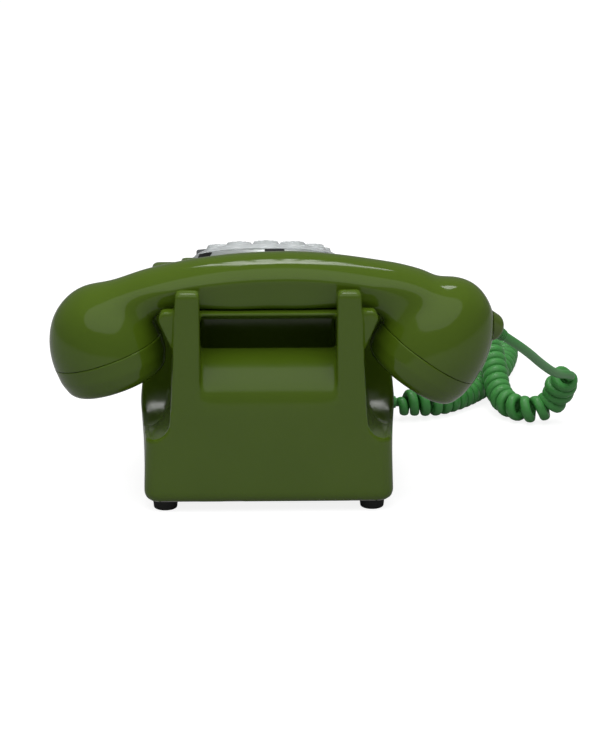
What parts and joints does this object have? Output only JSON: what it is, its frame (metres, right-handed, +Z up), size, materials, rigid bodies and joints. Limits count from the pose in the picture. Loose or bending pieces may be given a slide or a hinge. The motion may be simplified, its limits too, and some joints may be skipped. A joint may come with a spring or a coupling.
{
  "type": "desk telephone",
  "caption": "Desk telephone with a rotary dial, a handset resting across a cradle with rear posts and front horns, and a curly handset cord.",
  "frame": {"origin": "middle of the telephone's footprint without its cord, on the surface that the feet stand on", "axes": "+Z up; +Y to the rear, so the dial faces -Y; +X to the right of a person who dials"},
  "size_m": [0.2779, 0.294, 0.1261],
  "materials": {
    "green_case": "glossy moulded, olive green",
    "green_handset": "glossy moulded, olive green",
    "green_cord": "satin extruded jacket, leaf green",
    "black_rubber": "matt",
    "clear_plastic": "clear moulded, polished",
    "white_plastic": "smooth printed plate",
    "bright_metal": "bright plated",
    "black_plastic": "moulded black",
    "plated_steel": "zinc plated, satin",
    "brass": "turned and pressed",
    "white_nylon": "moulded nylon",
    "capsule_metal": "pressed and satin",
    "board": "resin bonded paper",
    "copper_winding": "enamelled wire wound on bobbins"
  },
  "bodies": {
    "base": {"case": "green_case", "curly_cord": "green_cord", "cord_lead": "green_cord", "cord_plug": "green_cord", "rubber_feet": "black_rubber", "dial_plate": "white_plastic", "dial_bezel": "bright_metal", "finger_stop": "bright_metal", "bezel_clips": "black_plastic", "line_socket": "black_plastic", "terminal_strip": "black_plastic", "base_plate": "plated_steel", "base_screws": "plated_steel", "hook_pin": "plated_steel", "hook_bracket": "plated_steel", "hook_spring": "plated_steel", "dial_frame": "plated_steel", "dial_rear_plate": "plated_steel", "dial_screws": "plated_steel", "governor_cup": "plated_steel", "main_spring": "plated_steel", "bell_bracket": "plated_steel", "bell_core": "plated_steel", "gong_screws": "plated_steel", "clapper_pin": "plated_steel", "board_pillars": "plated_steel", "spring_barrel": "plated_steel", "gong_left": "brass", "gong_right": "brass", "hook_contacts": "brass", "pulse_contacts": "brass", "capacitor": "capsule_metal", "circuit_board": "board", "bell_coils": "copper_winding", "induction_coil": "copper_winding"},
    "handset": {"handset_shell": "green_handset", "receiver_cap": "green_handset", "transmitter_cap": "green_handset", "receiver_capsule": "capsule_metal", "transmitter_capsule": "capsule_metal", "handset_terminals": "black_plastic", "cord_boss": "green_handset", "cord_strain_relief": "green_cord"},
    "plungers": {"plungers": "black_plastic"},
    "hook_lever": {"hook_lever": "black_plastic"},
    "dial_wheel": {"finger_wheel": "clear_plastic", "centre_disc": "white_plastic", "centre_ring": "bright_metal", "wheel_shaft": "plated_steel", "main_gear": "brass", "pulse_cam": "white_nylon"},
    "governor": {"governor_shaft": "plated_steel", "governor_weights": "brass"},
    "clapper": {"clapper": "plated_steel"}
  },
  "joints": [
    {"name": "handset_lift", "type": "slide", "parent": "base", "child": "handset", "axis": [0, 0, 1], "range_m": [0, 0.12]},
    {"name": "plunger_slide", "type": "slide", "parent": "base", "child": "plungers", "axis": [0, 0, 1], "range_m": [0, 0.0061]},
    {"name": "hook_lever_turn", "type": "hinge", "parent": "base", "child": "hook_lever", "pos_m": [0.002, 0.05, 0.08], "axis": [1, 0, 0], "range_deg": [0, 11.4]},
    {"name": "dial_turn", "type": "hinge", "parent": "base", "child": "dial_wheel", "pos_m": [0.002, -0.0436, 0.0829], "axis": [0, 0.3746, -0.9272], "range_deg": [0, 330], "stiffness_Nm_per_rad": 0.002, "springref_deg": -114.59},
    {"name": "governor_spin", "type": "hinge", "parent": "base", "child": "governor", "pos_m": [-0.0175, -0.05673, 0.07759], "axis": [0, 0.3746, -0.9272], "range_deg": [-1651, 0]},
    {"name": "clapper_swing", "type": "hinge", "parent": "base", "child": "clapper", "pos_m": [0.002, 0.046, 0.021], "axis": [0, 0, 1], "range_deg": [-4, 4], "stiffness_Nm_per_rad": 0.004}
  ],
  "couplings": [
    {"joint": "plunger_slide", "follows": "handset_lift", "ratio": 0.05},
    {"joint": "hook_lever_turn", "follows": "handset_lift", "rad_per_m": 1.63},
    {"joint": "governor_spin", "follows": "dial_turn", "ratio": -5}
  ]
}
